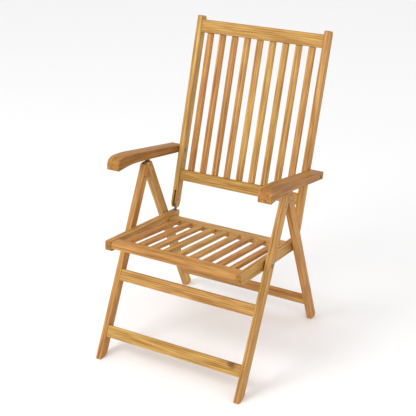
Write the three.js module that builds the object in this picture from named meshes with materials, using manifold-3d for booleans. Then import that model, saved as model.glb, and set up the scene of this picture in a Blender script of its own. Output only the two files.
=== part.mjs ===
// Folding high-back teak armchair: a front and a rear leg frame hinged together under the arms, a slatted
// seat bolted between the front legs, and a slatted back that is hinged to the seat and carried by two arms.
// Units are millimetres. +X is the sitter's left, -Y is the front, +Z is up, and the feet stand on z = 0.
import * as THREE from 'three';
import { mergeVertices } from 'three/addons/utils/BufferGeometryUtils.js';
import Module from 'manifold-3d';

const wasm = await Module();
wasm.setup();

// ---- driving dimensions ------------------------------------------------------------------------------
const DEG = Math.PI / 180;
const CLEAR = 0.3;                 // gap left between pieces that touch
const WELD = 1e-4;                 // points closer than this are one point
const ROUND_SIDES = 16;            // sides of pins, bolts and their holes
const CURVE_STEPS = 5;             // steps in each rounded corner
const SLIGHT = 2;                  // roundings: the length of each edge that a rounded corner takes
const EASED = 4;
const ROUNDED = 12;
const OVERCUT = 5;                 // a cutter runs past the wood by this much

// widths, across the chair
const LEG_SPREAD = 576;            // over the outer faces of the legs
const LEG_THICK = 20.5;
const RAIL_GAP = 5;                // washer space between a leg and a seat rail
const RAIL_THICK = 21;             // seat rails and back stiles
const ARM_GAP = 2;                 // washer space between a stile and an arm
const ARM_WIDTH = 47;

// leg frames, measured along each leg from its foot and across it from its front face
const LEG_DEPTH = 35.5;
const FRONT_LEAN = 27.8;           // degrees, tops towards the back
const REAR_LEAN = 24;              // degrees, tops towards the front
const FOOT_HEEL = 11.4;            // part of the leg's depth that is cut away behind the flat of the foot
const FOOT_RISE = 9;               // height of the cut rear corner of a foot
const HINGE_PIN_UNDER_ARM = 63;    // leg hinge pin to the arm's underside
const FRONT_LEG_PAST_PIN = 43;     // front leg above the hinge pin
const REAR_LEG_BEHIND_PIN = 26.6;  // hinge pin to the front face of the rear leg
const REAR_TOP_GAP_FRONT = 14.4;   // rear leg's top to the arm's underside, at the leg's front face
const REAR_TOP_GAP_BACK = 8.3;     // and at its back face
const SEAT_BOLT_UP = 474;          // seat bolt, along the front leg
const BAR_THICK = 18;
const BAR_HEIGHT = 42;
const FRONT_UPPER_BAR_UP = 294;    // lower edge of each crossbar, along its leg
const FRONT_LOWER_BAR_UP = 86;
const REAR_BAR_UP = 84;

// seat frame, measured along the seat rails from their front ends and up from their top edges
const SEAT_TILT = 7.8;             // degrees, rear end down
const SEAT_LENGTH = 475;
const SEAT_RAIL_DEPTH = 38;
const SEAT_BOLT_ALONG = 181.5;
const SEAT_BOLT_BELOW = 18.5;
const FRONT_RAIL_SETBACK = 3;
const FRONT_RAIL_WIDTH = 46;
const FRONT_RAIL_DEPTH = 27;
const FRONT_RAIL_ROUND = 10;
const REAR_RAIL_WIDTH = 46;
const REAR_RAIL_DEPTH = 21.6;
const REAR_RAIL_SETBACK = 36;      // seat rails run on behind the rear rail by this much
const SEAT_RAIL_NOSE_ROUND = 16;   // lower front corner of a side rail
const FRONT_RAIL_DROP = 1.5;       // top of the front rail below the top of the side rails
const REAR_RAIL_DROP = 15;         // top of the rear rail below the top of the side rails
const SEAT_SLAT_WIDTH = 24.5;
const SEAT_SLAT_THICK = 13;
const SLAT_COUNT = 9;

// back frame, measured up the stiles from the back hinge and back from the stiles' centre line
const BACK_LEAN = 17.8;            // degrees, top towards the back
const STILE_DEPTH = 33.5;
const STILE_TOP = 697;
const STILE_TIP = 33;              // stile below the back hinge
const TOP_RAIL_UP = 635.5;
const TOP_RAIL_HEIGHT = 47.5;
const BOTTOM_RAIL_UP = 75.5;
const BOTTOM_RAIL_HEIGHT = 42;
const BACK_RAIL_THICK = 21;
const BACK_RAIL_RECESS = 0.5;      // rails behind the front faces of the stiles
const BACK_SLAT_WIDTH = 24.5;
const BACK_SLAT_THICK = 11;
const STILE_TIP_TAPER = 8;         // each edge of the tip is drawn in by this much
const STILE_TIP_LENGTH = 20;       // over this length
const STILE_TOP_ROUND = 14;        // rear corner of a stile's top
const BACK_HINGE_FROM_END = 13;    // back hinge ahead of the seat rail's rear end
const BACK_HINGE_ABOVE = 42.5;     // and above the rail's top edge
const ARM_BOLT_UP = 190.5;         // arm bolt, up the stile from the back hinge

// arms, measured along the arm and up from the arm bolt
const ARM_TILT = 11.6;             // degrees, front end up
const ARM_PAST_BAR = 212;          // rest bar to the front end
const ARM_TAIL = 20;               // arm bolt to the rear end
const ARM_BELOW = 10.5;            // arm bolt to the straight underside
const ARM_TOP_REAR = 16;           // arm bolt to the top edge, at the rear end
const ARM_TOP_FRONT = 23;          // and where the front curve begins
const ARM_NOSE_CURVE = 85;         // length of the curved nose
const ARM_TOP_ROUND = 30;
const ARM_HOLLOW_DIP = 3;          // the underside starts to drop this far below its straight part
const ARM_HOLLOW_LENGTH = 70;      // over this length behind the nose
const ARM_HOLLOW_ROUND = 40;
const NOSE_CORNERS = [             // behind the front end, above the bolt, rounding
  [22, 18, 16], [0, -1, 12], [5, -29, 3], [27, -24, 6]];
const NOTCH_COUNT = 5;             // from upright to the lowest position
const NOTCH_PITCH = 23.1;
const NOTCH_DEPTH = 4.6;           // arm underside to the bottom of a notch
const NOTCH_ROOM = 1.2;            // around the rest bar
const NOTCH_END_ROOM = 1;          // past each end of the rest bar

// steel fittings
const PIN_RADIUS = 3;
const BOLT_RADIUS = 3;
const BOLT_HEAD_RADIUS = 7.5;
const BOLT_HEAD_HEIGHT = 3;
const SHOULDER_IN = 0.8;           // shoulder of a cup head, as shares of its radius
const SHOULDER_UP = 0.6;           // and of its height
const WASHER_RADIUS = 9;
const PIN_INSET = 0.5;             // end of a pin below the face of the wood
const BOLT_PROUD = 1;              // threaded end of the seat bolt out of the rail
const PLATE_THICK = 3;
const PLATE_END_RADIUS = 8;
const PLATE_TOP_RADIUS = 4;
const PLATE_PIN_RADIUS = 9;        // around the hinge pin
const PLATE_FIX_RADIUS = 6;        // around the upper fixing pin
const SLOT_ROOM = 3;               // between a plate's or strap's end and the end of its slot
const UPPER_FIX_ABOVE = 14;        // fixing pins of the hinge plate, above and below the hinge pin
const LOWER_FIX_BELOW = 20;
const UPPER_FIX_ACROSS = 19.9;     // and behind the front face of the rear leg
const LOWER_FIX_ACROSS = 24.1;
const REST_BAR_RADIUS = 4;
const REST_BAR_LENGTH = 17;
const REST_BAR_ACROSS = 25.7;      // rest bar behind the front face of the rear leg
const STRAP_THICK = 3;
const STRAP_WIDTH = 16;
const LEAF_REACH = 24;             // hinge pin to the middle of the leaf's round end, up the stile
const STRAP_PIN_AHEAD = 7;         // strap's fixing pin ahead of the back hinge
const STRAP_PIN_BELOW = 18;        // and below the top edge of the rail
const BUSH_RADIUS = 6;
const BUSH_INSET = 0.5;            // inner end of the bush below the arm's face
const BUSH_COVER = 8;              // wood left outside the bush

// ---- derived sizes -----------------------------------------------------------------------------------
const LEG_OUT = LEG_SPREAD / 2;
const LEG_IN = LEG_OUT - LEG_THICK;
const RAIL_OUT = LEG_IN - RAIL_GAP;
const RAIL_IN = RAIL_OUT - RAIL_THICK;
const ARM_IN = RAIL_OUT + ARM_GAP;
const ARM_OUT = ARM_IN + ARM_WIDTH;
const LEG_MID = (LEG_IN + LEG_OUT) / 2;
const RAIL_MID = (RAIL_IN + RAIL_OUT) / 2;
const STRAP_MID = RAIL_MID - (STRAP_THICK + CLEAR) / 2;
const LEAF_MID = RAIL_MID + (STRAP_THICK + CLEAR) / 2;
const BACK_HINGE_ALONG = SEAT_LENGTH - BACK_HINGE_FROM_END;
const SIDES = [['left', 1], ['right', -1]];

// A frame is a place and a tilt in the side view. Points in it are [back, up] along its own axes.
const frameAt = (y, z, tilt) => ({ y, z, tilt: tilt * DEG });
function world(frame, [back, up]) {
  const c = Math.cos(frame.tilt);
  const s = Math.sin(frame.tilt);
  return [frame.y + back * c - up * s, frame.z + back * s + up * c];
}
function local(frame, [y, z]) {
  const c = Math.cos(frame.tilt);
  const s = Math.sin(frame.tilt);
  return [(y - frame.y) * c + (z - frame.z) * s, (z - frame.z) * c - (y - frame.y) * s];
}

const frontFrame = frameAt(0, 0, -FRONT_LEAN);
const seatBolt = world(frontFrame, [LEG_DEPTH / 2, SEAT_BOLT_UP]);
const seatTurn = frameAt(0, 0, -SEAT_TILT);
const boltInSeat = world(seatTurn, [SEAT_BOLT_ALONG, -SEAT_BOLT_BELOW]);
const seatFrame = frameAt(seatBolt[0] - boltInSeat[0], seatBolt[1] - boltInSeat[1], -SEAT_TILT);
const backHinge = world(seatFrame, [BACK_HINGE_ALONG, BACK_HINGE_ABOVE]);
const backFrame = frameAt(backHinge[0], backHinge[1], -BACK_LEAN);
const armBolt = world(backFrame, [0, ARM_BOLT_UP]);
const armFrame = frameAt(armBolt[0], armBolt[1], -ARM_TILT);

// The point of a leg, at a depth behind its front face, that lies a gap below the arm's underside.
function underArm(leg, across, gap) {
  const [, start] = local(armFrame, world(leg, [across, 0]));
  return [across, (-ARM_BELOW - gap - start) / Math.cos(leg.tilt - armFrame.tilt)];
}
const legPin = underArm(frontFrame, LEG_DEPTH / 2, HINGE_PIN_UNDER_ARM);
const hingePin = world(frontFrame, legPin);
const pinToRearFoot = hingePin[1] * Math.tan(REAR_LEAN * DEG)
  + REAR_LEG_BEHIND_PIN / Math.cos(REAR_LEAN * DEG);
const rearFrame = frameAt(hingePin[0] + pinToRearFoot, 0, REAR_LEAN);
const frontLegLength = legPin[1] + FRONT_LEG_PAST_PIN;
const rearLegTopFront = underArm(rearFrame, 0, REAR_TOP_GAP_FRONT);
const rearLegTopBack = underArm(rearFrame, LEG_DEPTH, REAR_TOP_GAP_BACK);
const restBar = world(rearFrame, underArm(rearFrame, REST_BAR_ACROSS, CLEAR + REST_BAR_RADIUS));
const barAhead = -local(armFrame, restBar)[0];
const armReach = barAhead + ARM_PAST_BAR;

// ---- materials ---------------------------------------------------------------------------------------
const teak = (color) => new THREE.MeshStandardMaterial({ color, roughness: 0.55, metalness: 0 });
const steel = () => new THREE.MeshStandardMaterial({ color: 0x8d9093, roughness: 0.4, metalness: 0.9 });
const HONEY = 0xcf9450;
const AMBER = 0xc08040;
const RUSSET = 0xb0713a;

// ---- solid-making helpers ----------------------------------------------------------------------------
function toSolid(geometry) {
  const bare = geometry.clone();
  bare.deleteAttribute('normal');
  bare.deleteAttribute('uv');
  const merged = mergeVertices(bare, WELD);
  return new wasm.Manifold(new wasm.Mesh({
    numProp: 3,
    vertProperties: Float32Array.from(merged.attributes.position.array),
    triVerts: Uint32Array.from(merged.index.array),
  }));
}

function fromSolid(solid) {
  const mesh = solid.getMesh();
  const geometry = new THREE.BufferGeometry();
  geometry.setAttribute('position', new THREE.BufferAttribute(mesh.vertProperties, 3));
  geometry.setIndex(new THREE.BufferAttribute(mesh.triVerts, 1));
  const flat = geometry.toNonIndexed();
  flat.computeVertexNormals();
  return flat;
}

const cut = (geometry, ...cutters) => fromSolid(
  cutters.reduce((solid, cutter) => solid.subtract(toSolid(cutter)), toSolid(geometry)));
const weld = (geometry, other) => fromSolid(toSolid(geometry).add(toSolid(other)));

// An outline is a list of corners [back, up, rounding]; a rounded corner is an arc-like curve.
const MOST_OF_EDGE = 0.49;         // a rounding takes no more of an edge than this share
function outline(given, holes = []) {
  const turning = THREE.ShapeUtils.area(given.map(([y, z]) => new THREE.Vector2(y, z)));
  const corners = turning < 0 ? [...given].reverse() : given;
  const shape = new THREE.Shape();
  corners.forEach(([y, z, rounding = 0], i) => {
    const before = corners[(i + corners.length - 1) % corners.length];
    const after = corners[(i + 1) % corners.length];
    const step = (to) => {
      const span = Math.hypot(to[0] - y, to[1] - z);
      const share = Math.min(rounding / span, MOST_OF_EDGE);
      return [y + (to[0] - y) * share, z + (to[1] - z) * share];
    };
    const start = rounding ? step(before) : [y, z];
    if (i) shape.lineTo(...start);
    else shape.moveTo(...start);
    if (rounding) shape.quadraticCurveTo(y, z, ...step(after));
  });
  shape.closePath();
  holes.forEach(([y, z, radius]) => {
    const around = Array.from({ length: ROUND_SIDES }, (_, k) => -2 * Math.PI * k / ROUND_SIDES);
    shape.holes.push(new THREE.Path(
      around.map((angle) => new THREE.Vector2(y + radius * Math.cos(angle), z + radius * Math.sin(angle)))));
  });
  return shape;
}

const ALONG_X = new THREE.Matrix4().makeBasis(
  new THREE.Vector3(0, 1, 0), new THREE.Vector3(0, 0, 1), new THREE.Vector3(1, 0, 0));

// A side-view shape carried across the chair from x0 to x1.
function slab(shape, x0, x1) {
  const geometry = new THREE.ExtrudeGeometry(shape, {
    depth: x1 - x0, bevelEnabled: false, curveSegments: CURVE_STEPS,
  });
  geometry.applyMatrix4(ALONG_X);
  geometry.translate(x0, 0, 0);
  return geometry;
}

// The same between two distances from the centre plane, on the side given by sign.
function sideSlab(shape, sign, near, far) {
  const ends = [sign * near, sign * far];
  return slab(shape, Math.min(...ends), Math.max(...ends));
}
const midSlab = (shape, sign, middle, thick) => sideSlab(shape, sign, middle - thick / 2, middle + thick / 2);

// A round bar along X at [back, up], as a lathe-turned profile of [distance from the centre plane, radius].
function turned([y, z], sign, profile) {
  const points = profile.map(([x, r]) => new THREE.Vector2(r, x));
  const geometry = new THREE.LatheGeometry(points, ROUND_SIDES);
  geometry.rotateZ(-Math.PI / 2);
  if (sign < 0) geometry.rotateY(Math.PI);
  geometry.translate(0, y, z);
  return geometry;
}
const rod = (at, sign, near, far, radius) => turned(at, sign,
  [[near, 0], [near, radius], [far, radius], [far, 0]]);

// The profile of a cup head that bears on a face and stands out from it in the direction given.
const cupHead = (face, out) => [
  [face + out * CLEAR, BOLT_HEAD_RADIUS],
  [face + out * BOLT_HEAD_HEIGHT * SHOULDER_UP, BOLT_HEAD_RADIUS * SHOULDER_IN],
  [face + out * BOLT_HEAD_HEIGHT, 0]];

// A tube along X, which closes on itself.
const tube = (at, sign, near, far, inner, outer) => turned(at, sign,
  [[near, inner], [near, outer], [far, outer], [far, inner], [near, inner]]);

// The convex outline around round ends [back, up, radius], drilled at the middle of each end that has a hole.
const STRAIGHT = 0.01;             // a turn smaller than this, in square millimetres, is no corner
function strapShape(ends, holes = []) {
  const points = [];
  ends.forEach(([y, z, radius]) => {
    for (let k = 0; k < ROUND_SIDES; k += 1) {
      const angle = 2 * Math.PI * k / ROUND_SIDES;
      points.push([y + radius * Math.cos(angle), z + radius * Math.sin(angle)]);
    }
  });
  points.sort((a, b) => a[0] - b[0] || a[1] - b[1]);
  const turn = (o, a, b) => (a[0] - o[0]) * (b[1] - o[1]) - (a[1] - o[1]) * (b[0] - o[0]);
  const half = (list) => list.reduce((hull, p) => {
    while (hull.length > 1 && turn(hull.at(-2), hull.at(-1), p) <= STRAIGHT) hull.pop();
    hull.push(p);
    return hull;
  }, []);
  const lower = half(points);
  const upper = half([...points].reverse());
  return outline([...lower.slice(0, -1), ...upper.slice(0, -1)], holes);
}

// ---- the assembly ------------------------------------------------------------------------------------
const chair = new THREE.Group();

function inFrame(frame) {
  const group = new THREE.Group();
  group.position.set(0, frame.y, frame.z);
  group.rotation.x = frame.tilt;
  chair.add(group);
  return group;
}
const frontLegs = inFrame(frontFrame);
const rearLegs = inFrame(rearFrame);
const seat = inFrame(seatFrame);
const back = inFrame(backFrame);
const arms = inFrame(armFrame);

function add(group, name, geometry, material) {
  const mesh = new THREE.Mesh(geometry, material);
  mesh.name = name;
  group.add(mesh);
}

const drilled = (radius) => radius + CLEAR;
const pinHole = (at) => [...at, drilled(PIN_RADIUS)];
const legBolt = [LEG_DEPTH / 2, SEAT_BOLT_UP];

// ---- front leg frame: two long legs, two crossbars let in flush with their front faces ---------------
function foot(lean) {
  const level = (across) => across * Math.tan(lean * DEG);
  const flat = LEG_DEPTH - FOOT_HEEL;
  return [[LEG_DEPTH, level(LEG_DEPTH) + FOOT_RISE], [flat, level(flat)], [0, 0]];
}

// The top of a front leg is mitred to the front face of the rear leg, which bears on it in the open chair.
const mitreFoot = local(frontFrame, world(rearFrame, [-CLEAR, 0]));
const mitreTop = local(frontFrame, world(rearFrame, [-CLEAR, frontLegLength]));
const mitreSlope = (mitreTop[1] - mitreFoot[1]) / (mitreTop[0] - mitreFoot[0]);
const mitreAt = (across) => [across, mitreFoot[1] + (across - mitreFoot[0]) * mitreSlope];
const mitreAcross = (up) => [mitreFoot[0] + (up - mitreFoot[1]) / mitreSlope, up];
const frontOutline = outline(
  [...foot(FRONT_LEAN), [0, frontLegLength, EASED], mitreAcross(frontLegLength), mitreAt(LEG_DEPTH)],
  [pinHole(legPin), [...legBolt, drilled(BOLT_RADIUS)]]);
const plateSlot = PLATE_THICK + 2 * CLEAR;
const slotFront = legPin[0] - PLATE_PIN_RADIUS - SLOT_ROOM;
const slotFloor = legPin[1] - LOWER_FIX_BELOW - PLATE_END_RADIUS - SLOT_ROOM;
const frontSlot = outline([
  [slotFront, slotFloor], [LEG_DEPTH + OVERCUT, slotFloor],
  [LEG_DEPTH + OVERCUT, frontLegLength + OVERCUT], [slotFront, frontLegLength + OVERCUT]]);
const pinNear = LEG_IN + PIN_INSET;
const pinFar = LEG_OUT - PIN_INSET;
SIDES.forEach(([side, sign]) => {
  const leg = sideSlab(frontOutline, sign, LEG_IN, LEG_OUT);
  add(frontLegs, `front_leg_${side}`, cut(leg, midSlab(frontSlot, sign, LEG_MID, plateSlot)), teak(HONEY));
  add(frontLegs, `leg_hinge_pin_${side}`, rod(legPin, sign, pinNear, pinFar, PIN_RADIUS), steel());
});

function crossbar(group, name, up) {
  const top = up + BAR_HEIGHT;
  const shape = outline(
    [[0, up, SLIGHT], [BAR_THICK, up, SLIGHT], [BAR_THICK, top, SLIGHT], [0, top, EASED]]);
  add(group, name, slab(shape, -LEG_IN + CLEAR, LEG_IN - CLEAR), teak(HONEY));
}
crossbar(frontLegs, 'front_upper_crossbar', FRONT_UPPER_BAR_UP);
crossbar(frontLegs, 'front_lower_crossbar', FRONT_LOWER_BAR_UP);

// ---- rear leg frame: two legs that reach up to the arms, a low crossbar, the plates of the leg hinges -----
const restInRear = local(rearFrame, restBar);
const pinInRear = local(rearFrame, hingePin);
const upperFix = [UPPER_FIX_ACROSS, pinInRear[1] + UPPER_FIX_ABOVE];
const lowerFix = [LOWER_FIX_ACROSS, pinInRear[1] - LOWER_FIX_BELOW];
const rearOutline = outline(
  [...foot(-REAR_LEAN), [...rearLegTopFront, EASED], [...rearLegTopBack, EASED]],
  [pinHole(upperFix), pinHole(lowerFix)]);
const rearSlotFloor = lowerFix[1] - PLATE_END_RADIUS - SLOT_ROOM;
const rearSlotBack = lowerFix[0] + PLATE_END_RADIUS + CLEAR;
const rearSlot = outline([[-OVERCUT, rearSlotFloor], [rearSlotBack, rearSlotFloor],
  [rearSlotBack, rearLegTopFront[1] + OVERCUT], [-OVERCUT, rearLegTopFront[1] + OVERCUT]]);

// the plate's upper end stops under the rest bar, which is welded along its edge
const weldBelow = REST_BAR_RADIUS + CLEAR + PLATE_TOP_RADIUS;
const plateTop = local(rearFrame, [restBar[0], restBar[1] - weldBelow]);
const plateShape = strapShape(
  [[...pinInRear, PLATE_PIN_RADIUS], [...upperFix, PLATE_FIX_RADIUS], [...lowerFix, PLATE_END_RADIUS],
    [...plateTop, PLATE_TOP_RADIUS]],
  [pinHole(pinInRear), pinHole(upperFix), pinHole(lowerFix)]);
SIDES.forEach(([side, sign]) => {
  const leg = sideSlab(rearOutline, sign, LEG_IN, LEG_OUT);
  add(rearLegs, `rear_leg_${side}`, cut(leg, midSlab(rearSlot, sign, LEG_MID, plateSlot)), teak(AMBER));
  add(rearLegs, `leg_hinge_plate_${side}`, midSlab(plateShape, sign, LEG_MID, PLATE_THICK), steel());
  add(rearLegs, `upper_plate_pin_${side}`, rod(upperFix, sign, pinNear, pinFar, PIN_RADIUS), steel());
  add(rearLegs, `lower_plate_pin_${side}`, rod(lowerFix, sign, pinNear, pinFar, PIN_RADIUS), steel());
  add(rearLegs, `arm_rest_bar_${side}`, rod(restInRear, sign,
    LEG_MID - REST_BAR_LENGTH / 2, LEG_MID + REST_BAR_LENGTH / 2, REST_BAR_RADIUS), steel());
});
crossbar(rearLegs, 'rear_crossbar', REAR_BAR_UP);

// ---- seat frame: two side rails, a front and a rear rail between them, nine slats --------------------
const strapPin = [BACK_HINGE_ALONG - STRAP_PIN_AHEAD, -STRAP_PIN_BELOW];
const hingeInSeat = [BACK_HINGE_ALONG, BACK_HINGE_ABOVE];
const seatRailShape = outline([
  [0, -SEAT_RAIL_DEPTH, SEAT_RAIL_NOSE_ROUND], [SEAT_LENGTH, -SEAT_RAIL_DEPTH, ROUNDED],
  [SEAT_LENGTH, 0, ROUNDED], [0, 0, EASED]],
[[SEAT_BOLT_ALONG, -SEAT_BOLT_BELOW, drilled(BOLT_RADIUS)], pinHole(strapPin)]);
const strapOutline = strapShape(
  [[...hingeInSeat, STRAP_WIDTH / 2], [...strapPin, STRAP_WIDTH / 2]],
  [pinHole(hingeInSeat), pinHole(strapPin)]);
const strapSlot = STRAP_THICK + 2 * CLEAR;
const strapRoom = STRAP_WIDTH / 2 + SLOT_ROOM;
const railSlot = outline([
  [strapPin[0] - strapRoom, strapPin[1] - strapRoom], [BACK_HINGE_ALONG + strapRoom, strapPin[1] - strapRoom],
  [BACK_HINGE_ALONG + strapRoom, OVERCUT], [strapPin[0] - strapRoom, OVERCUT]]);
SIDES.forEach(([side, sign]) => {
  const rail = sideSlab(seatRailShape, sign, RAIL_IN, RAIL_OUT);
  add(seat, `seat_rail_${side}`, cut(rail, midSlab(railSlot, sign, STRAP_MID, strapSlot)), teak(HONEY));
  add(seat, `back_hinge_strap_${side}`, midSlab(strapOutline, sign, STRAP_MID, STRAP_THICK), steel());
  add(seat, `strap_pin_${side}`,
    rod(strapPin, sign, RAIL_IN + PIN_INSET, RAIL_OUT - PIN_INSET, PIN_RADIUS), steel());

  // the bolt's head bears on the leg, its end shows at the rail's inner face, and a washer keeps the gap
  add(frontLegs, `seat_bolt_${side}`, turned(legBolt, sign, [
    [RAIL_IN - BOLT_PROUD, 0], [RAIL_IN - BOLT_PROUD, BOLT_RADIUS], [LEG_OUT + CLEAR, BOLT_RADIUS],
    ...cupHead(LEG_OUT, 1)]), steel());
  add(frontLegs, `seat_bolt_washer_${side}`,
    tube(legBolt, sign, RAIL_OUT + CLEAR, LEG_IN - CLEAR, drilled(BOLT_RADIUS), WASHER_RADIUS), steel());
});

const frontRailRear = FRONT_RAIL_SETBACK + FRONT_RAIL_WIDTH;
const rearRailRear = SEAT_LENGTH - REAR_RAIL_SETBACK;
const rearRailFront = rearRailRear - REAR_RAIL_WIDTH;
const betweenRails = RAIL_IN - CLEAR;
add(seat, 'seat_front_rail', slab(outline([
  [FRONT_RAIL_SETBACK, -FRONT_RAIL_DROP - FRONT_RAIL_DEPTH, FRONT_RAIL_ROUND],
  [frontRailRear, -FRONT_RAIL_DROP - FRONT_RAIL_DEPTH, SLIGHT], [frontRailRear, -FRONT_RAIL_DROP, SLIGHT],
  [FRONT_RAIL_SETBACK, -FRONT_RAIL_DROP, FRONT_RAIL_ROUND]]), -betweenRails, betweenRails), teak(HONEY));
add(seat, 'seat_rear_rail', slab(outline([
  [rearRailFront, -REAR_RAIL_DROP - REAR_RAIL_DEPTH, SLIGHT],
  [rearRailRear, -REAR_RAIL_DROP - REAR_RAIL_DEPTH, EASED],
  [rearRailRear, -REAR_RAIL_DROP, EASED], [rearRailFront, -REAR_RAIL_DROP, SLIGHT]]),
-betweenRails, betweenRails), teak(AMBER));

// slats butt against the two cross rails and follow the plane between their top faces
const slatPlace = (i, width) => {
  const space = (2 * RAIL_IN - SLAT_COUNT * width) / (SLAT_COUNT + 1);
  return -RAIL_IN + (i + 1) * space + (i + 0.5) * width;
};
const slatStart = frontRailRear + CLEAR;
const slatEnd = rearRailFront - CLEAR;
const seatSlatShape = outline([
  [slatStart, -FRONT_RAIL_DROP - SEAT_SLAT_THICK], [slatEnd, -REAR_RAIL_DROP - SEAT_SLAT_THICK],
  [slatEnd, -REAR_RAIL_DROP], [slatStart, -FRONT_RAIL_DROP]]);
for (let i = 0; i < SLAT_COUNT; i += 1) {
  const x = slatPlace(i, SEAT_SLAT_WIDTH);
  add(seat, `seat_slat_${i + 1}`,
    slab(seatSlatShape, x - SEAT_SLAT_WIDTH / 2, x + SEAT_SLAT_WIDTH / 2), teak(i % 2 ? AMBER : HONEY));
}

// ---- back frame: two stiles, a top and a bottom rail, nine slats -------------------------------------
const stileHalf = STILE_DEPTH / 2;
const tipHalf = stileHalf - STILE_TIP_TAPER;
const tipStart = -STILE_TIP + STILE_TIP_LENGTH;
const stileShape = outline([
  [-tipHalf, -STILE_TIP, 2 * EASED], [tipHalf, -STILE_TIP, 2 * EASED], [stileHalf, tipStart, EASED],
  [stileHalf, STILE_TOP, STILE_TOP_ROUND], [-stileHalf, STILE_TOP, 2 * EASED], [-stileHalf, tipStart, EASED]],
[pinHole([0, 0]), [0, ARM_BOLT_UP, drilled(BOLT_RADIUS)]]);
// each stile is slotted from its tip for the strap and, beside it, for a leaf that is welded to the hinge pin
const stileSlotTop = LEAF_REACH + strapRoom;
const stileSlot = outline([
  [-stileHalf - OVERCUT, -STILE_TIP - OVERCUT], [stileHalf + OVERCUT, -STILE_TIP - OVERCUT],
  [stileHalf + OVERCUT, stileSlotTop], [-stileHalf - OVERCUT, stileSlotTop]]);
const leafShape = strapShape([[0, 0, STRAP_WIDTH / 2], [0, LEAF_REACH, STRAP_WIDTH / 2]]);
SIDES.forEach(([side, sign]) => {
  const stile = sideSlab(stileShape, sign, RAIL_IN, RAIL_OUT);
  const slot = sideSlab(stileSlot, sign, STRAP_MID - strapSlot / 2, LEAF_MID + strapSlot / 2);
  add(back, `back_stile_${side}`, cut(stile, slot), teak(HONEY));
  const pin = rod([0, 0], sign, RAIL_IN + PIN_INSET, RAIL_OUT - PIN_INSET, PIN_RADIUS);
  add(back, `back_hinge_pin_${side}`, weld(pin, midSlab(leafShape, sign, LEAF_MID, STRAP_THICK)), steel());
});

const railFront = -stileHalf + BACK_RAIL_RECESS;
const railBack = railFront + BACK_RAIL_THICK;
function backRail(name, up, height) {
  const top = up + height;
  const shape = outline([
    [railFront, up, EASED], [railBack, up, SLIGHT], [railBack, top, EASED], [railFront, top, EASED]]);
  add(back, name, slab(shape, -betweenRails, betweenRails), teak(HONEY));
}
backRail('back_top_rail', TOP_RAIL_UP, TOP_RAIL_HEIGHT);
backRail('back_bottom_rail', BOTTOM_RAIL_UP, BOTTOM_RAIL_HEIGHT);

// the slats stand in the middle of the rails' thickness
const backSlatFront = (railFront + railBack - BACK_SLAT_THICK) / 2;
const backSlatFoot = BOTTOM_RAIL_UP + BOTTOM_RAIL_HEIGHT + CLEAR;
const backSlatHead = TOP_RAIL_UP - CLEAR;
const backSlatShape = outline([
  [backSlatFront, backSlatFoot], [backSlatFront + BACK_SLAT_THICK, backSlatFoot],
  [backSlatFront + BACK_SLAT_THICK, backSlatHead], [backSlatFront, backSlatHead]]);
for (let i = 0; i < SLAT_COUNT; i += 1) {
  const x = slatPlace(i, BACK_SLAT_WIDTH);
  add(back, `back_slat_${i + 1}`,
    slab(backSlatShape, x - BACK_SLAT_WIDTH / 2, x + BACK_SLAT_WIDTH / 2), teak(i % 3 ? HONEY : AMBER));
}

// ---- arms: hollow-curved nose, stopped notches underneath for the rest bar ---------------------------
const noseStart = -armReach + ARM_NOSE_CURVE;
const [noseTop, noseFront, noseLip, noseHeel] = NOSE_CORNERS.map(
  ([behind, above, rounding]) => [behind - armReach, above, rounding]);
const armShape = outline([
  noseLip, noseHeel, [noseStart, -ARM_BELOW - ARM_HOLLOW_DIP, ARM_HOLLOW_ROUND],
  [noseStart + ARM_HOLLOW_LENGTH, -ARM_BELOW, ARM_HOLLOW_ROUND], [ARM_TAIL, -ARM_BELOW, EASED],
  [ARM_TAIL, ARM_TOP_REAR, EASED], [noseStart, ARM_TOP_FRONT, ARM_TOP_ROUND], noseTop, noseFront],
[[0, 0, drilled(BUSH_RADIUS)]]);

// The first notch lies over the rest bar, and the others ahead of it.
const notchRadius = REST_BAR_RADIUS + NOTCH_ROOM;
const notchHalf = REST_BAR_LENGTH / 2 + NOTCH_END_ROOM;
const notchAt = (i) => [-barAhead - i * NOTCH_PITCH, -ARM_BELOW - notchRadius + NOTCH_DEPTH];
const bushEnd = ARM_OUT - BUSH_COVER;
SIDES.forEach(([side, sign]) => {
  const blank = sideSlab(armShape, sign, ARM_IN, ARM_OUT);
  const notches = Array.from({ length: NOTCH_COUNT }, (_, i) => rod(
    notchAt(i), sign, LEG_MID - notchHalf, LEG_MID + notchHalf, notchRadius));
  add(arms, `arm_${side}`, cut(blank, ...notches), teak(RUSSET));
  add(arms, `arm_bush_${side}`,
    tube([0, 0], sign, ARM_IN + BUSH_INSET, bushEnd, drilled(BOLT_RADIUS), BUSH_RADIUS), steel());
  add(arms, `arm_bolt_${side}`, turned([0, 0], sign, [
    ...cupHead(RAIL_IN, -1).reverse(), [RAIL_IN - CLEAR, BOLT_RADIUS],
    [bushEnd - BOLT_PROUD, BOLT_RADIUS], [bushEnd - BOLT_PROUD, 0]]), steel());
});

// ---- origin: the middle of the outer box, on the ground ----------------------------------------------
chair.updateMatrixWorld(true);
const extent = new THREE.Box3().setFromObject(chair, true);
const middle = extent.getCenter(new THREE.Vector3());
chair.position.set(-middle.x, -middle.y, -extent.min.z);

export default chair;
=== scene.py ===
import math
import bmesh
import bpy
import numpy as np
from mathutils import Matrix, Vector


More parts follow.
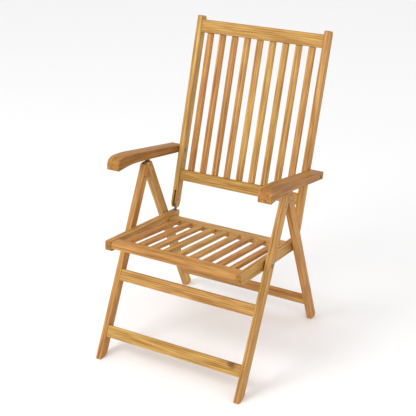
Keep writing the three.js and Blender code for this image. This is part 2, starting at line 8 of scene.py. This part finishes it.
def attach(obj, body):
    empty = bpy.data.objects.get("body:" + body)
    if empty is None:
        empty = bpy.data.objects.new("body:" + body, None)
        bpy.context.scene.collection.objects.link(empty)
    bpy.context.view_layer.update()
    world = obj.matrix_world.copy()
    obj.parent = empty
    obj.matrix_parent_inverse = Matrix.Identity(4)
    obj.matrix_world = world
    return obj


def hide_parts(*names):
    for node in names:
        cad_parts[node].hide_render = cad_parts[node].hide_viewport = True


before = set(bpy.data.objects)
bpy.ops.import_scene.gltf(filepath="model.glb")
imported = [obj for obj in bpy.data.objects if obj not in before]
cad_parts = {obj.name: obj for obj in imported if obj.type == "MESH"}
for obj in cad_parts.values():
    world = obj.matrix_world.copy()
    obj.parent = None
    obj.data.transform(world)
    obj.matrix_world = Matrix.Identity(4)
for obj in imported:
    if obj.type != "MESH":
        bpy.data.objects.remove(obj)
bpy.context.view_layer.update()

# ---- Front legs -------------------------------------------------------------------------------------------
# Two straight teak legs, planed and sanded with lightly rounded edges. They are sawn level at the feet, and
# slotted at the top for the steel hinge plates. Teak is honey brown with fine dark pores along the grain.
EASED_EDGE = 0.0022          # radius of the sanded edges
ROUND_STEPS = 3
WELD_REACH = 2e-5
FLAT_ENOUGH = math.radians(0.6)      # facets that turn less than this are one face
SHARP_CORNER = math.radians(33)      # corners that turn more than this are sanded
CREASE = math.radians(38)            # creases sharper than this stay crisp
CUT_END_LEAN = 0.6                   # a face is a cut end when it looks this much along the grain
GRAIN_SHIFT = np.array([0.173, 0.311, 1.37])     # moves each board to a part of the grain of its own
CAST_STEP = 2.399                    # radians of cast from one board number to the next
CAST_START = 0.7


def grain_axis(points):
    """The direction in which a board was sawn: along its greatest length."""
    centred = points - points.mean(axis=0)
    return np.linalg.svd(centred, full_matrices=False)[2][0]


def eased(name, source, weld, corner, radius, steps):
    """A copy of a blank with its facets merged and its corners rounded."""
    bm = bmesh.new()
    bm.from_mesh(source.data)
    bmesh.ops.remove_doubles(bm, verts=bm.verts, dist=weld)
    bmesh.ops.dissolve_limit(bm, angle_limit=FLAT_ENOUGH, verts=bm.verts, edges=bm.edges)
    sharp = [e for e in bm.edges if e.is_manifold and e.is_convex and e.calc_face_angle() > corner]
    bmesh.ops.bevel(bm, geom=sharp, offset=radius, segments=steps, profile=0.5, affect="EDGES",
                    clamp_overlap=True)
    mesh = bpy.data.meshes.new(name)
    bm.to_mesh(mesh)
    bm.free()
    return mesh


def board_mesh(name, source, radius, seed):
    """A sanded board: the sawn blank with rounded edges, and its grain laid along its length."""
    mesh = eased(name, source, WELD_REACH, SHARP_CORNER, radius, ROUND_STEPS)
    points = np.array([v.co for v in mesh.vertices])
    axis = grain_axis(points)
    side = np.array([1.0, 0.0, 0.0]) if abs(axis[0]) < 0.5 else np.array([0.0, 0.0, 1.0])
    side = side - axis * side.dot(axis)
    side /= np.linalg.norm(side)
    depth = np.cross(axis, side)
    rest = points - points.mean(axis=0)
    laid = np.stack([rest @ side, rest @ depth, rest @ axis], axis=1) + seed * GRAIN_SHIFT
    grain = mesh.attributes.new("grain", "FLOAT_VECTOR", "POINT")
    grain.data.foreach_set("vector", laid.astype(np.float32).ravel())
    cut = [1.0 if abs(Vector(axis).dot(p.normal)) > CUT_END_LEAN else 0.0 for p in mesh.polygons]
    mesh.attributes.new("end_grain", "FLOAT", "FACE").data.foreach_set("value", cut)
    tone = 0.5 + 0.5 * math.sin(seed * CAST_STEP + CAST_START)
    shade = mesh.attributes.new("board_shade", "FLOAT", "POINT")
    shade.data.foreach_set("value", [tone] * len(mesh.vertices))
    mesh.shade_smooth()
    mesh.set_sharp_from_angle(angle=CREASE)
    return mesh


def shader_node(tree, kind, **values):
    """A shader node with its inputs and settings given by name."""
    node = tree.nodes.new(kind)
    for key, value in values.items():
        if key in node.inputs:
            node.inputs[key].default_value = value
        else:
            setattr(node, key, value)
    return node


def ramp(tree, source, low, high):
    """A two-stop colour ramp. Each stop is a position and a colour."""
    node = shader_node(tree, "ShaderNodeValToRGB")
    for stop, (position, colour) in zip(node.color_ramp.elements, (low, high)):
        stop.position = position
        stop.color = (*colour, 1)
    tree.links.new(source, node.inputs["Fac"])
    return node


def mapped(tree, source, scale, shift=(0.0, 0.0, 0.0)):
    """Coordinates stretched and shifted."""
    node = shader_node(tree, "ShaderNodeMapping", Scale=scale, Location=shift)
    tree.links.new(source, node.inputs["Vector"])
    return node.outputs["Vector"]


def noise(tree, place, **values):
    """Noise read at a place."""
    node = shader_node(tree, "ShaderNodeTexNoise", **values)
    tree.links.new(place, node.inputs["Vector"])
    return node


def remapped(tree, source, low, high, first=0.0, last=1.0):
    """A value between first and last, brought to lie between low and high."""
    node = shader_node(tree, "ShaderNodeMapRange")
    node.inputs["From Min"].default_value = first
    node.inputs["From Max"].default_value = last
    node.inputs["To Min"].default_value = low
    node.inputs["To Max"].default_value = high
    tree.links.new(source, node.inputs["Value"])
    return node.outputs["Result"]


def scaled(tree, source, factor):
    """A value times a fixed factor."""
    node = shader_node(tree, "ShaderNodeMath", operation="MULTIPLY")
    node.inputs[1].default_value = factor
    tree.links.new(source, node.inputs[0])
    return node.outputs[0]


def blended(tree, share, under, over, blend_type="MULTIPLY"):
    """One colour laid over another. The share is a number or an output, and so is the upper colour."""
    node = shader_node(tree, "ShaderNodeMix", data_type="RGBA", blend_type=blend_type)
    share_in, under_in, over_in = node.inputs[0], node.inputs[6], node.inputs[7]
    if isinstance(share, float):
        share_in.default_value = share
    else:
        tree.links.new(share, share_in)
    tree.links.new(under, under_in)
    if isinstance(over, tuple):
        over_in.default_value = (*over, 1)
    else:
        tree.links.new(over, over_in)
    return node.outputs[2]


def growth_bands(tree, place, bands):
    """Growth bands that wander slowly along the board."""
    stretch = mapped(tree, place, (1.0, 1.0, 0.055))
    wander = noise(tree, stretch, Scale=26.0, Detail=2.0, Roughness=0.5)
    bend = shader_node(tree, "ShaderNodeVectorMath", operation="MULTIPLY_ADD")
    bend.inputs[1].default_value = (0.030, 0.030, 0.0)
    tree.links.new(wander.outputs["Color"], bend.inputs[0])
    tree.links.new(stretch, bend.inputs[2])
    return noise(tree, bend.outputs["Vector"], Scale=120.0 * bands, Detail=3.0, Roughness=0.55)


def late_wood(tree, place, bands, colour):
    """Dark late-wood lines in patches: rings round a heart that lay beside the board."""
    heart = mapped(tree, place, (1.0, 1.0, 0.045), (0.045, 0.062, 0.0))
    lines = shader_node(tree, "ShaderNodeTexWave", wave_type="RINGS", rings_direction="Z", Scale=52.0 * bands,
                        Distortion=3.4, Detail=2.0)
    lines.inputs["Detail Scale"].default_value = 0.8
    lines.inputs["Detail Roughness"].default_value = 0.55
    tree.links.new(heart, lines.inputs["Vector"])
    line_ramp = ramp(tree, lines.outputs["Fac"], (0.0, (0.52, 0.38, 0.25)), (0.42, (1.03, 1.03, 1.01)))
    patches = noise(tree, heart, Scale=30.0, Detail=1.0)
    share = remapped(tree, patches.outputs["Fac"], 0.12, 0.78, 0.35, 0.65)
    return blended(tree, share, colour, line_ramp.outputs["Color"])


def board_cast(tree, colour):
    """The cast of each board, from red brown through honey to yellow."""
    cast = shader_node(tree, "ShaderNodeAttribute", attribute_name="board_shade")
    cast_ramp = ramp(tree, cast.outputs["Fac"], (0.0, (0.96, 0.84, 0.72)), (1.0, (1.00, 1.06, 0.90)))
    cast_ramp.color_ramp.elements.new(0.45).color = (1.0, 0.97, 0.92, 1)
    return blended(tree, 1.0, colour, cast_ramp.outputs["Color"])


def oil_clouds(tree, place, colour):
    """Clouds where the wood took more oil."""
    clouds = noise(tree, mapped(tree, place, (2.2, 2.2, 0.7)), Scale=9.0, Detail=3.0, Roughness=0.6)
    cloud_ramp = ramp(tree, clouds.outputs["Fac"], (0.25, (0.80, 0.70, 0.58)), (0.75, (1.06, 1.05, 1.02)))
    return blended(tree, 0.8, colour, cloud_ramp.outputs["Color"])


def open_pores(tree, place):
    """Where the pores are: short streaks along the grain."""
    pores = noise(tree, mapped(tree, place, (1.0, 1.0, 0.022)), Scale=900.0, Detail=2.0, Roughness=0.6)
    return ramp(tree, pores.outputs["Fac"], (0.56, (0, 0, 0)), (0.74, (1, 1, 1))).outputs["Color"]


def knotted(tree, middle, pore, colour):
    """A ragged dark knot round a point of the board."""
    here = shader_node(tree, "ShaderNodeTexCoord").outputs["Object"]
    apart = shader_node(tree, "ShaderNodeVectorMath", operation="SUBTRACT")
    apart.inputs[1].default_value = middle
    tree.links.new(here, apart.inputs[0])
    reach = shader_node(tree, "ShaderNodeVectorMath", operation="LENGTH")
    tree.links.new(apart.outputs["Vector"], reach.inputs[0])
    ragged = shader_node(tree, "ShaderNodeMath", operation="MULTIPLY_ADD")
    ragged.inputs[1].default_value = 0.018
    tree.links.new(noise(tree, here, Scale=90.0, Detail=2.0).outputs["Fac"], ragged.inputs[0])
    tree.links.new(reach.outputs["Value"], ragged.inputs[2])
    share = remapped(tree, ragged.outputs[0], 0.85, 0.0, 0.014, 0.030)
    return blended(tree, share, colour, pore, "MIX")


def teak(name, pale, deep, pore, bands=1.0, knot=None, cut_end=(0.62, 0.50, 0.38)):
    """Oiled teak: growth bands, late-wood lines, dark open pores and tinted cut ends, in a satin finish."""
    material = bpy.data.materials.new(name)
    material.use_nodes = True
    tree = material.node_tree
    shader = tree.nodes["Principled BSDF"]
    place = shader_node(tree, "ShaderNodeAttribute", attribute_name="grain").outputs["Vector"]
    rings = growth_bands(tree, place, bands).outputs["Fac"]
    colour = ramp(tree, rings, (0.33, deep), (0.66, pale)).outputs["Color"]
    colour = late_wood(tree, place, bands, colour)
    colour = board_cast(tree, colour)
    colour = oil_clouds(tree, place, colour)
    pores = open_pores(tree, place)
    colour = blended(tree, scaled(tree, pores, 0.42), colour, pore, "MIX")
    ends = shader_node(tree, "ShaderNodeAttribute", attribute_name="end_grain")
    colour = blended(tree, scaled(tree, ends.outputs["Fac"], 0.55), colour, cut_end)
    if knot:
        colour = knotted(tree, knot, pore, colour)
    tree.links.new(colour, shader.inputs["Base Color"])
    tree.links.new(remapped(tree, rings, 0.46, 0.66), shader.inputs["Roughness"])
    relief = shader_node(tree, "ShaderNodeBump", Strength=0.22, Distance=0.0006)
    heights = shader_node(tree, "ShaderNodeMath", operation="SUBTRACT")
    tree.links.new(rings, heights.inputs[0])
    tree.links.new(pores, heights.inputs[1])
    tree.links.new(heights.outputs[0], relief.inputs["Height"])
    tree.links.new(relief.outputs["Normal"], shader.inputs["Normal"])
    shader.inputs["Specular IOR Level"].default_value = 0.35
    return material


HONEY_TEAK = ((0.67, 0.405, 0.130), (0.40, 0.190, 0.043), (0.12, 0.045, 0.012))
frame_teak = teak("frame_teak", *HONEY_TEAK)


def board(node, body, material, seed, radius=EASED_EDGE):
    """Cuts, sands and places one board, which stands for its frame node."""
    mesh = board_mesh(f"{node}_board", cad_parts[node], radius, seed)
    mesh.materials.append(material)
    piece = bpy.data.objects.new(f"{node}_board", mesh)
    bpy.context.collection.objects.link(piece)
    piece.modifiers.new("even_shading", "WEIGHTED_NORMAL").keep_sharp = True
    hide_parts(node)
    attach(piece, body)


for number, side in enumerate(("left", "right")):
    board(f"front_leg_{side}", "front_leg_frame", frame_teak, 1 + number)

# ---- Crossbars --------------------------------------------------------------------------------------------
# Three teak bars, tenoned between the legs and let in flush with their front faces. Two tie the front legs,
# and one ties the rear legs low down.
KNOT = (0.232, -0.318, 0.108)   # a dark knot near one end of the lower bar
FRONT_BAR_EDGE = 0.0035
REAR_BAR_EDGE = 0.003
board("front_upper_crossbar", "front_leg_frame", frame_teak, 5, FRONT_BAR_EDGE)
knotty_teak = teak("knotty_teak", *HONEY_TEAK, knot=KNOT)
board("front_lower_crossbar", "front_leg_frame", knotty_teak, 8, FRONT_BAR_EDGE)
board("rear_crossbar", "rear_leg_frame", frame_teak, 7, REAR_BAR_EDGE)

# ---- Rear legs --------------------------------------------------------------------------------------------
# Two teak legs that reach up under the arms, joined low down by the rear crossbar. Their tops are slotted for
# the hinge plates and cut to the slope of the arms.
for number, side in enumerate(("left", "right")):
    board(f"rear_leg_{side}", "rear_leg_frame", frame_teak, 12 + number)

# ---- Seat frame -------------------------------------------------------------------------------------------
# Two side rails with rounded ends stand a little proud of the slats. A front and a rear rail are tenoned
# between them.
SEAT_RAIL_EDGE = 0.002
for number, side in enumerate(("left", "right")):
    board(f"seat_rail_{side}", "seat_frame", frame_teak, 21 + number)
board("seat_front_rail", "seat_frame", frame_teak, 25, SEAT_RAIL_EDGE)
board("seat_rear_rail", "seat_frame", frame_teak, 27, SEAT_RAIL_EDGE)

# ---- Slats ------------------------------------------------------------------------------------------------
# Nine narrow teak slats run from the front rail to the rear rail of the seat, and nine more stand between the
# rails of the back. They are sawn from different boards, so their colour changes from one to the next.
slat_teak = teak("slat_teak", (0.66, 0.38, 0.120), (0.40, 0.182, 0.042), (0.12, 0.043, 0.010), 1.1)
SLAT_COUNT = 9
SEAT_SLAT_EDGE = 0.003
BACK_SLAT_EDGE = 0.002
for number in range(1, SLAT_COUNT + 1):
    board(f"seat_slat_{number}", "seat_frame", slat_teak, 30 + number * 3, SEAT_SLAT_EDGE)
    board(f"back_slat_{number}", "back_frame", slat_teak, 70 + number * 5, BACK_SLAT_EDGE)

# ---- Back frame -------------------------------------------------------------------------------------------
# Two teak stiles with rounded tops and tips, joined by a broad top rail and a narrower bottom rail. The rails
# are tenoned into the stiles, and the tips are slotted for the straps.
BACK_RAIL_EDGE = 0.003
for number, side in enumerate(("left", "right")):
    board(f"back_stile_{side}", "back_frame", frame_teak, 51 + number * 2)
board("back_top_rail", "back_frame", frame_teak, 55, BACK_RAIL_EDGE)
board("back_bottom_rail", "back_frame", frame_teak, 58, BACK_RAIL_EDGE)

# ---- Arms -------------------------------------------------------------------------------------------------
# Two shaped arms of redder teak, curved down at the front and hollowed underneath behind the nose. Stopped
# notches underneath drop over the rest bars. Their cut ends are paler than the rest.
ARM_EDGE = 0.004
arm_teak = teak("arm_teak", (0.49, 0.232, 0.055), (0.27, 0.106, 0.020), (0.10, 0.034, 0.008), 0.8,
                cut_end=(1.25, 1.22, 1.15))
for number, side in enumerate(("left", "right")):
    board(f"arm_{side}", f"arm_{side}", arm_teak, 61 + number * 2, ARM_EDGE)

# ---- Steel fittings ---------------------------------------------------------------------------------------
# Galvanised steel: hinge plates sunk in the legs, straps at the foot of the back, round pins, and cup-headed
# bolts with washers. The pins have a flat head in each face of the leg. The zinc is dull and faintly mottled.


def zinc(name):
    """Galvanised steel with a fine spangle."""
    material = bpy.data.materials.new(name)
    material.use_nodes = True
    tree = material.node_tree
    shader = tree.nodes["Principled BSDF"]
    shader.inputs["Metallic"].default_value = 1.0
    where = shader_node(tree, "ShaderNodeTexCoord")
    spangle = shader_node(tree, "ShaderNodeTexVoronoi", Scale=420.0)
    tree.links.new(where.outputs["Object"], spangle.inputs["Vector"])
    tint = ramp(tree, spangle.outputs["Color"], (0.0, (0.12, 0.12, 0.125)), (1.0, (0.30, 0.305, 0.31)))
    tree.links.new(tint.outputs["Color"], shader.inputs["Base Color"])
    tree.links.new(remapped(tree, spangle.outputs["Distance"], 0.42, 0.62), shader.inputs["Roughness"])
    return material


fitting_zinc = zinc("fitting_zinc")
FITTING_EDGE = 0.0004
FITTING_EDGE_STEPS = 2
FITTING_WELD = 1e-5
FITTING_CORNER = math.radians(40)


def fitting(node, body):
    """A steel fitting with its edges broken."""
    mesh = eased(f"{node}_steel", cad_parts[node], FITTING_WELD, FITTING_CORNER, FITTING_EDGE,
                 FITTING_EDGE_STEPS)
    mesh.shade_smooth()
    mesh.set_sharp_from_angle(angle=CREASE)
    mesh.materials.append(fitting_zinc)
    piece = bpy.data.objects.new(f"{node}_steel", mesh)
    bpy.context.collection.objects.link(piece)
    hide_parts(node)
    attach(piece, body)


PIN_HEAD_RADIUS = 0.0042
PIN_HEAD_SIDES = 24
PIN_HEAD_SUNK = 0.0015       # how far the head starts inside the leg's face
PIN_HEAD_PROUD = 0.0003
LEG_SKIN = 0.0005            # the leg's face stands this far past the pin's end


def pin_heads(node, body):
    """A flattened head on each end of a pin that goes through a leg."""
    corners = [v.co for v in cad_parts[node].data.vertices]
    y = (min(c.y for c in corners) + max(c.y for c in corners)) / 2
    z = (min(c.z for c in corners) + max(c.z for c in corners)) / 2
    ends = ((min(c.x for c in corners), -1), (max(c.x for c in corners), 1))
    for number, (x, outward) in enumerate(ends):
        face = x + outward * LEG_SKIN
        middle = face + outward * (PIN_HEAD_PROUD - PIN_HEAD_SUNK) / 2
        bm = bmesh.new()
        turn = Matrix.Translation((middle, y, z)) @ Matrix.Rotation(math.radians(90), 4, "Y")
        bmesh.ops.create_cone(bm, cap_ends=True, segments=PIN_HEAD_SIDES, radius1=PIN_HEAD_RADIUS,
                              radius2=PIN_HEAD_RADIUS, depth=PIN_HEAD_PROUD + PIN_HEAD_SUNK, matrix=turn)
        mesh = bpy.data.meshes.new(f"{node}_head_{number}")
        bm.to_mesh(mesh)
        bm.free()
        mesh.materials.append(fitting_zinc)
        head = bpy.data.objects.new(f"{node}_head_{number}", mesh)
        bpy.context.collection.objects.link(head)
        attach(head, body)


for side in ("left", "right"):
    pin_heads(f"leg_hinge_pin_{side}", "front_leg_frame")
    pin_heads(f"upper_plate_pin_{side}", "rear_leg_frame")
    pin_heads(f"lower_plate_pin_{side}", "rear_leg_frame")
    for node in ("leg_hinge_pin", "seat_bolt", "seat_bolt_washer"):
        fitting(f"{node}_{side}", "front_leg_frame")
    for node in ("leg_hinge_plate", "upper_plate_pin", "lower_plate_pin", "arm_rest_bar"):
        fitting(f"{node}_{side}", "rear_leg_frame")
    for node in ("back_hinge_strap", "strap_pin"):
        fitting(f"{node}_{side}", "seat_frame")
    fitting(f"back_hinge_pin_{side}", "back_hinge_pins")
    fitting(f"arm_bush_{side}", f"arm_bush_{side}")
    fitting(f"arm_bolt_{side}", f"arm_bolt_{side}")

# ---- Floor, light and camera ------------------------------------------------------------------------------
# A pale studio floor, one large soft light above the front, a weaker one at the side, and an even white
# surround. The camera stands in front, a little to one side, and looks down.
FLOOR_HALF = 6.0
floor_mesh = bpy.data.meshes.new("studio_floor")
floor_corners = [(-1, -1), (1, -1), (1, 1), (-1, 1)]
floor_mesh.from_pydata([(x * FLOOR_HALF, y * FLOOR_HALF, 0) for x, y in floor_corners], [], [(0, 1, 2, 3)])
studio_floor = bpy.data.objects.new("studio_floor", floor_mesh)
bpy.context.collection.objects.link(studio_floor)
floor_paint = bpy.data.materials.new("floor_paint")
floor_paint.use_nodes = True
floor_shader = floor_paint.node_tree.nodes["Principled BSDF"]
floor_shader.inputs["Base Color"].default_value = (0.96, 0.96, 0.965, 1)
floor_shader.inputs["Roughness"].default_value = 0.9
floor_mesh.materials.append(floor_paint)

surround = bpy.data.worlds.new("surround")
surround.use_nodes = True
surround.node_tree.nodes["Background"].inputs["Color"].default_value = (1.0, 1.0, 1.0, 1)
surround.node_tree.nodes["Background"].inputs["Strength"].default_value = 0.93
bpy.context.scene.world = surround


def soft_light(name, size, power, place, target):
    """A square studio light turned to face a point."""
    lamp = bpy.data.lights.new(name, "AREA")
    lamp.size = size
    lamp.energy = power
    light = bpy.data.objects.new(name, lamp)
    light.location = place
    light.rotation_euler = (Vector(target) - Vector(place)).to_track_quat("-Z", "Y").to_euler()
    bpy.context.collection.objects.link(light)


CHAIR_MIDDLE = (0.0, 0.0, 0.5)
soft_light("key_light", 1.5, 58.0, (-1.4, -2.6, 3.2), CHAIR_MIDDLE)
soft_light("fill_light", 2.5, 6.0, (2.8, -0.6, 2.2), CHAIR_MIDDLE)

CAMERA_PLACE = (1.4338, -2.6889, 1.8965)
CAMERA_TURN = 28.6           # degrees to the chair's left of straight ahead
CAMERA_DIP = 24.5            # degrees below level
camera_data = bpy.data.cameras.new("studio_camera")
camera_data.sensor_width = 36.0      # millimetres, like the lens
camera_data.lens = 81.36
camera = bpy.data.objects.new("studio_camera", camera_data)
camera.location = CAMERA_PLACE
camera.rotation_euler = (math.radians(90.0 - CAMERA_DIP), 0.0, math.radians(CAMERA_TURN))
bpy.context.collection.objects.link(camera)
bpy.context.scene.camera = camera
bpy.context.scene.view_settings.view_transform = "Standard"
